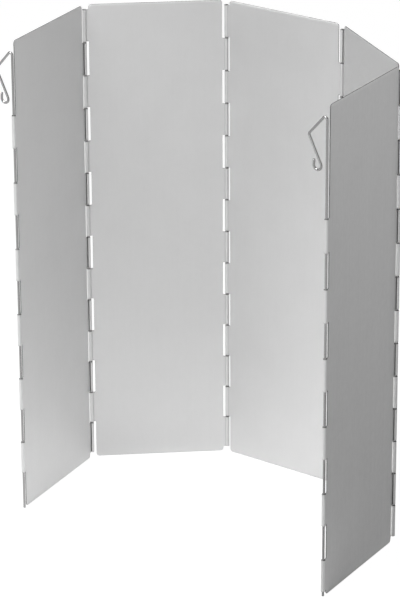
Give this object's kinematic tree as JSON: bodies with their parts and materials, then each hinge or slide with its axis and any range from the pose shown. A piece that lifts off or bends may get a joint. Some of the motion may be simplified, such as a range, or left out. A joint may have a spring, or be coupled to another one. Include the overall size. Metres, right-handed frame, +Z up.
{
  "type": "folding stove windscreen",
  "caption": "Upright folding windscreen of sheet-metal panels joined by rolled knuckles on wire pins, with bent-wire ground pegs that slide in the knuckles of the free edges.",
  "frame": {"origin": "on the ground, under the middle of the centre panel's lower edge", "axes": "+X along the centre panel, to the right as seen from the stove; +Y from the stove towards the centre panel; +Z up"},
  "size_m": [0.3941, 0.2464, 0.5],
  "materials": {
    "sheet": "bare satin sheet with a fine upright grain",
    "wire": "bright drawn wire"
  },
  "bodies": {
    "centre_section": {"centre_panel": "sheet", "left_pin": "wire"},
    "left_section": {"left_panel": "sheet", "left_end_pin": "wire"},
    "left_end_section": {"left_end_panel": "sheet"},
    "right_section": {"right_panel": "sheet", "right_pin": "wire"},
    "right_end_section": {"right_end_panel": "sheet", "right_end_pin": "wire"},
    "left_peg": {"left_peg": "wire"},
    "right_peg": {"right_peg": "wire"}
  },
  "joints": [
    {"name": "left_hinge", "type": "hinge", "parent": "centre_section", "child": "left_section", "pos_m": [-0.0725, 0.0005, 0], "axis": [0, 0, -1], "range_deg": [-77, 222]},
    {"name": "left_end_hinge", "type": "hinge", "parent": "left_section", "child": "left_end_section", "pos_m": [-0.17786, -0.09912, 0], "axis": [0, 0, 1], "range_deg": [-177.5, 121]},
    {"name": "right_hinge", "type": "hinge", "parent": "centre_section", "child": "right_section", "pos_m": [0.0725, -0.0005, 0], "axis": [0, 0, -1], "range_deg": [-152.5, 87.5]},
    {"name": "right_end_hinge", "type": "hinge", "parent": "right_section", "child": "right_end_section", "pos_m": [0.19533, -0.07756, 0], "axis": [0, 0, 1], "range_deg": [-69.5, 229.5]},
    {"name": "left_peg_slide", "type": "slide", "parent": "left_end_section", "child": "left_peg", "axis": [0, 0, -1], "range_m": [-0.03, 0.06]},
    {"name": "right_peg_slide", "type": "slide", "parent": "right_end_section", "child": "right_peg", "axis": [0, 0, -1], "range_m": [-0.03, 0.095]}
  ]
}
